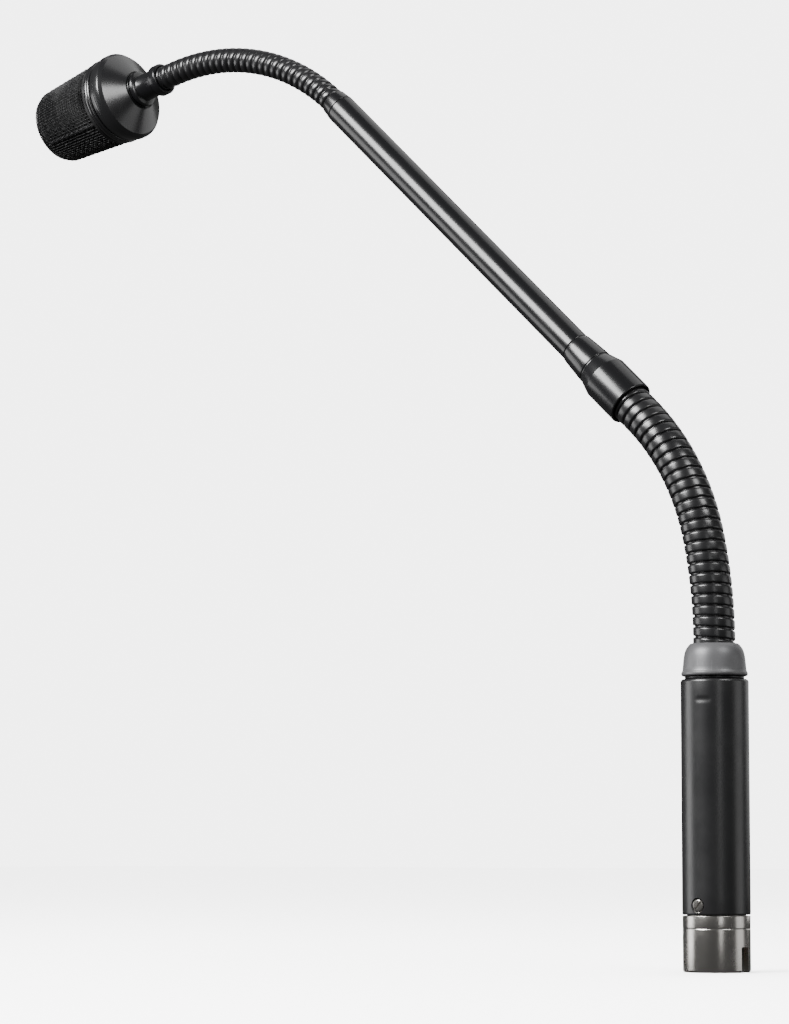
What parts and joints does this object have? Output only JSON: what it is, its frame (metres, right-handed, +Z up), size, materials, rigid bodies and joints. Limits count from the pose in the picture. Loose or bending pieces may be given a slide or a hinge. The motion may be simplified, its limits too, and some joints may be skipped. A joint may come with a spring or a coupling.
{
  "type": "gooseneck podium microphone",
  "caption": "Black gooseneck condenser microphone for a podium: plug-in base tube, two flexible necks joined by a straight stem, and a small cylindrical mesh head.",
  "frame": {"origin": "centre of the plug's open end, on the base tube's axis", "axes": "+Z up along the base tube; the arm leans towards -Y in the YZ plane, and the head points along -Y and slightly down; +X is to the microphone's left when it faces the speaker"},
  "size_m": [0.0288, 0.2693, 0.2908],
  "materials": {
    "painted": "satin black paint",
    "gloss": "gloss black paint",
    "neck": "black-plated wound steel",
    "collar": "satin grey plating",
    "mesh": "black-coated woven steel mesh",
    "dark": "dark plated steel",
    "nickel": "satin nickel plate",
    "gold": "gold flash on brass",
    "plastic": "matte moulded plastic",
    "board": "green circuit board",
    "rubber": "soft black rubber",
    "foam": "fine black foam",
    "cable": "dark grey cable sheath"
  },
  "bodies": {
    "base": {"base_lead": "cable", "base_tube": "painted", "bush_nut": "nickel", "filter_capacitor": "plastic", "insert_screw": "nickel", "lower_neck_cable": "cable", "lower_neck_root": "neck", "neck_bush": "dark", "neck_collar": "collar", "output_transformer": "dark", "pin_1": "gold", "pin_2": "gold", "pin_3": "gold", "plug_insert": "plastic", "plug_shell": "nickel", "preamp_board": "board", "preamp_chip": "plastic"},
    "lower_link_1": {"lower_neck_link_1": "neck"},
    "lower_link_2": {"lower_neck_link_2": "neck"},
    "lower_link_3": {"lower_neck_link_3": "neck"},
    "lower_link_4": {"lower_neck_link_4": "neck"},
    "lower_link_5": {"lower_neck_link_5": "neck"},
    "lower_link_6": {"lower_neck_link_6": "neck"},
    "lower_link_7": {"lower_neck_link_7": "neck"},
    "stem": {"lower_neck_end": "neck", "neck_coupler": "gloss", "stem_tube": "gloss", "stem_cable": "cable", "stem_ferrule": "gloss", "upper_neck_root": "neck", "upper_neck_cable": "cable"},
    "upper_link_1": {"upper_neck_link_1": "neck"},
    "upper_link_2": {"upper_neck_link_2": "neck"},
    "upper_link_3": {"upper_neck_link_3": "neck"},
    "upper_link_4": {"upper_neck_link_4": "neck"},
    "upper_link_5": {"upper_neck_link_5": "neck"},
    "upper_link_6": {"upper_neck_link_6": "neck"},
    "upper_link_7": {"upper_neck_link_7": "neck"},
    "head": {"upper_neck_end": "neck", "head_ferrule": "gloss", "ferrule_nut": "nickel", "head_housing": "painted", "head_ring": "gloss", "grille": "mesh", "grille_foam": "foam", "capsule_cradle": "rubber", "capsule": "nickel", "capsule_mesh": "mesh", "capsule_board": "board", "head_lead": "cable"}
  },
  "joints": [
    {"name": "lower_neck_bend", "type": "hinge", "parent": "base", "child": "lower_link_1", "pos_m": [0, -0.00003, 0.0948], "axis": [1, 0, 0], "range_deg": [-9.2, 12], "deforming": ["lower_neck_cable"]},
    {"name": "lower_neck_side", "type": "hinge", "parent": "lower_link_1", "child": "lower_link_2", "pos_m": [0, -0.00064, 0.10478], "axis": [0, 0.9952, 0.0982], "range_deg": [-10, 10]},
    {"name": "lower_neck_bend_3", "type": "hinge", "parent": "lower_link_2", "child": "lower_link_3", "pos_m": [0, -0.00199, 0.11468], "axis": [1, 0, 0], "range_deg": [-9.2, 12]},
    {"name": "lower_neck_bend_4", "type": "hinge", "parent": "lower_link_3", "child": "lower_link_4", "pos_m": [0, -0.00413, 0.12445], "axis": [1, 0, 0], "range_deg": [-9.2, 12]},
    {"name": "lower_neck_side_5", "type": "hinge", "parent": "lower_link_4", "child": "lower_link_5", "pos_m": [0, -0.00747, 0.13387], "axis": [0, 0.9162, 0.4006], "range_deg": [-10, 10]},
    {"name": "lower_neck_bend_6", "type": "hinge", "parent": "lower_link_5", "child": "lower_link_6", "pos_m": [0, -0.01211, 0.14271], "axis": [1, 0, 0], "range_deg": [-9.2, 12]},
    {"name": "lower_neck_side_7", "type": "hinge", "parent": "lower_link_6", "child": "lower_link_7", "pos_m": [0, -0.01796, 0.15081], "axis": [0, 0.7666, 0.6421], "range_deg": [-10, 10]},
    {"name": "lower_neck_bend_8", "type": "hinge", "parent": "lower_link_7", "child": "stem", "pos_m": [0, -0.02491, 0.158], "axis": [1, 0, 0], "range_deg": [-9.2, 12]},
    {"name": "upper_neck_bend", "type": "hinge", "parent": "stem", "child": "upper_link_1", "pos_m": [0, -0.14189, 0.26568], "axis": [1, 0, 0], "range_deg": [-11, 12], "deforming": ["upper_neck_cable"]},
    {"name": "upper_neck_side", "type": "hinge", "parent": "upper_link_1", "child": "upper_link_2", "pos_m": [0, -0.14991, 0.2713], "axis": [0, 0.5211, 0.8535], "range_deg": [-10, 10]},
    {"name": "upper_neck_bend_3", "type": "hinge", "parent": "upper_link_2", "child": "upper_link_3", "pos_m": [0, -0.15857, 0.27587], "axis": [1, 0, 0], "range_deg": [-11, 12]},
    {"name": "upper_neck_bend_4", "type": "hinge", "parent": "upper_link_3", "child": "upper_link_4", "pos_m": [0, -0.16774, 0.27931], "axis": [1, 0, 0], "range_deg": [-11, 12]},
    {"name": "upper_neck_side_5", "type": "hinge", "parent": "upper_link_4", "child": "upper_link_5", "pos_m": [0, -0.17727, 0.28156], "axis": [0, 0.1685, 0.9857], "range_deg": [-10, 10]},
    {"name": "upper_neck_bend_6", "type": "hinge", "parent": "upper_link_5", "child": "upper_link_6", "pos_m": [0, -0.18701, 0.2826], "axis": [1, 0, 0], "range_deg": [-11, 12]},
    {"name": "upper_neck_side_7", "type": "hinge", "parent": "upper_link_6", "child": "upper_link_7", "pos_m": [0, -0.1968, 0.2824], "axis": [0, -0.0832, 0.9965], "range_deg": [-10, 10]},
    {"name": "upper_neck_bend_8", "type": "hinge", "parent": "upper_link_7", "child": "head", "pos_m": [0, -0.20649, 0.28097], "axis": [1, 0, 0], "range_deg": [-11, 12]}
  ],
  "couplings": [
    {"joint": "lower_neck_bend_3", "follows": "lower_neck_bend", "ratio": 1},
    {"joint": "lower_neck_bend_4", "follows": "lower_neck_bend", "ratio": 1},
    {"joint": "lower_neck_side_5", "follows": "lower_neck_side", "ratio": 1},
    {"joint": "lower_neck_bend_6", "follows": "lower_neck_bend", "ratio": 1},
    {"joint": "lower_neck_side_7", "follows": "lower_neck_side", "ratio": 1},
    {"joint": "lower_neck_bend_8", "follows": "lower_neck_bend", "ratio": 1},
    {"joint": "upper_neck_bend_3", "follows": "upper_neck_bend", "ratio": 1},
    {"joint": "upper_neck_bend_4", "follows": "upper_neck_bend", "ratio": 1},
    {"joint": "upper_neck_side_5", "follows": "upper_neck_side", "ratio": 1},
    {"joint": "upper_neck_bend_6", "follows": "upper_neck_bend", "ratio": 1},
    {"joint": "upper_neck_side_7", "follows": "upper_neck_side", "ratio": 1},
    {"joint": "upper_neck_bend_8", "follows": "upper_neck_bend", "ratio": 1}
  ]
}
